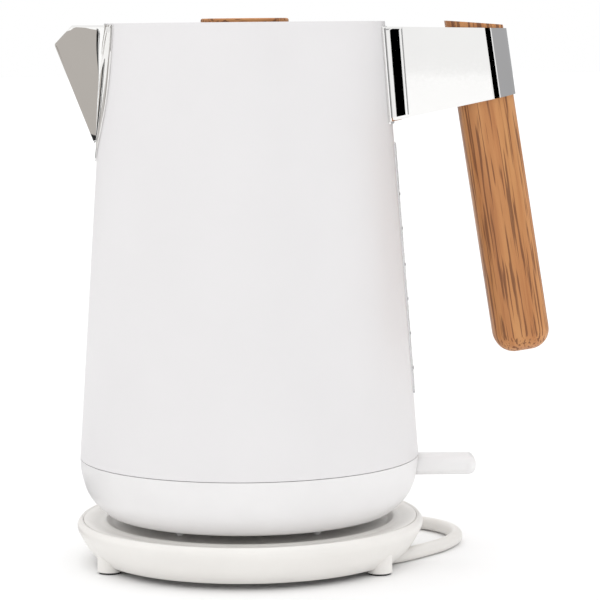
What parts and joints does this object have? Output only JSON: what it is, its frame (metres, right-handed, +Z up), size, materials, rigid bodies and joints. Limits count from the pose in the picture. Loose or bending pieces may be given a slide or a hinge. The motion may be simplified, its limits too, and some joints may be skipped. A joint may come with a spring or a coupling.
{
  "type": "cordless jug kettle",
  "caption": "White steel jug kettle with a polished V spout, closed polished bracket, straight oak grip and oak lid knob, on a round turning power base with a mains cord.",
  "frame": {"origin": "on the power base's vertical centre line, on the plane that its three foot pads stand on, 1.25 mm below the base's flat underside", "axes": "+Z up, +X towards the handle and switch lever, -X towards the spout, -Y the side seen in front"},
  "size_m": [0.22, 0.2533, 0.2438],
  "materials": {
    "base_plastic": "satin moulded white plastic, slightly warm",
    "white_plastic": "satin moulded white plastic",
    "white_paint": "satin white paint on steel",
    "clear_plastic": "clear moulded plastic",
    "lever_plastic": "frosted translucent plastic",
    "grey_seal": "grey silicone rubber",
    "dark_rubber": "dark anti-slip rubber",
    "dark_plastic": "dark heat-resistant moulded plastic",
    "cord_pvc": "white flexible plastic sheath",
    "plated_pin": "nickel-plated brass",
    "contact_brass": "bare contact metal",
    "zinc_steel": "zinc-plated steel",
    "stainless": "brushed stainless steel",
    "aluminium_plate": "pressed aluminium",
    "chrome_plate": "mirror-polished metal",
    "oak": "oiled oak with open dark grain"
  },
  "bodies": {
    "power_base": {"base_lower_shell": "base_plastic", "base_foot_pads": "dark_rubber", "base_top_cover": "base_plastic", "base_bottom_cover": "base_plastic", "base_screws": "zinc_steel", "base_connector": "base_plastic", "base_contacts": "contact_brass", "base_leads": "cord_pvc", "cord_clamp": "dark_plastic", "power_cord": "cord_pvc", "cord_gland": "cord_pvc", "cord_coil": "cord_pvc", "cord_tail": "cord_pvc", "mains_plug": "cord_pvc", "plug_pins": "plated_pin", "plug_earth_clips": "plated_pin"},
    "turn_collar": {"turn_collar": "base_plastic"},
    "jug": {"body_shell": "white_paint", "water_window": "clear_plastic", "window_gasket": "grey_seal", "level_marks": "grey_seal", "rim_ring": "white_paint", "lower_housing": "white_plastic", "bottom_cover": "white_plastic", "bottom_screws": "zinc_steel", "jug_connector": "dark_plastic", "jug_contact_blades": "contact_brass", "control_unit": "dark_plastic", "control_screws": "zinc_steel", "heating_element": "stainless", "heat_spreader": "aluminium_plate", "heater_plate": "stainless", "heater_seal": "grey_seal", "steam_tube": "dark_plastic", "steam_tube_seal": "grey_seal", "steam_switch": "dark_plastic", "bimetal_disc": "contact_brass", "lever_pin": "zinc_steel", "rocker_pin": "zinc_steel", "switch_bracket": "dark_plastic", "indicator_lamp": "clear_plastic", "spout": "chrome_plate", "handle_bracket": "chrome_plate", "handle_grip": "oak", "handle_core": "dark_plastic", "grip_screws": "zinc_steel", "handle_mount_plate": "stainless"},
    "lid": {"lid_pan": "stainless", "lid_plug": "white_plastic", "lid_seal": "grey_seal", "lid_knob": "oak", "knob_spacer": "stainless", "lid_screw": "zinc_steel"},
    "spout_filter": {"filter_frame": "white_plastic", "filter_mesh": "stainless"},
    "switch_lever": {"switch_lever": "lever_plastic"},
    "trip_rocker": {"trip_rocker": "dark_plastic"}
  },
  "joints": [
    {"name": "kettle_turn", "type": "hinge", "parent": "power_base", "child": "turn_collar", "pos_m": [0, 0, 0.018], "axis": [0, 0, 1], "continuous": true},
    {"name": "kettle_lift", "type": "slide", "parent": "turn_collar", "child": "jug", "axis": [0, 0, 1], "range_m": [0, 0.06]},
    {"name": "lid_lift", "type": "slide", "parent": "jug", "child": "lid", "axis": [0, 0, 1], "range_m": [0, 0.05]},
    {"name": "filter_unclip", "type": "slide", "parent": "jug", "child": "spout_filter", "axis": [1, 0, 0], "range_m": [0, 0.02]},
    {"name": "switch_press", "type": "hinge", "parent": "jug", "child": "switch_lever", "pos_m": [0.064, 0, 0.043], "axis": [0, 1, 0], "range_deg": [0, 10]},
    {"name": "rocker_trip", "type": "hinge", "parent": "jug", "child": "trip_rocker", "pos_m": [0.04, 0, 0.036], "axis": [0, 1, 0], "range_deg": [-10, 0]}
  ],
  "couplings": [
    {"joint": "rocker_trip", "follows": "switch_press", "ratio": -1}
  ]
}
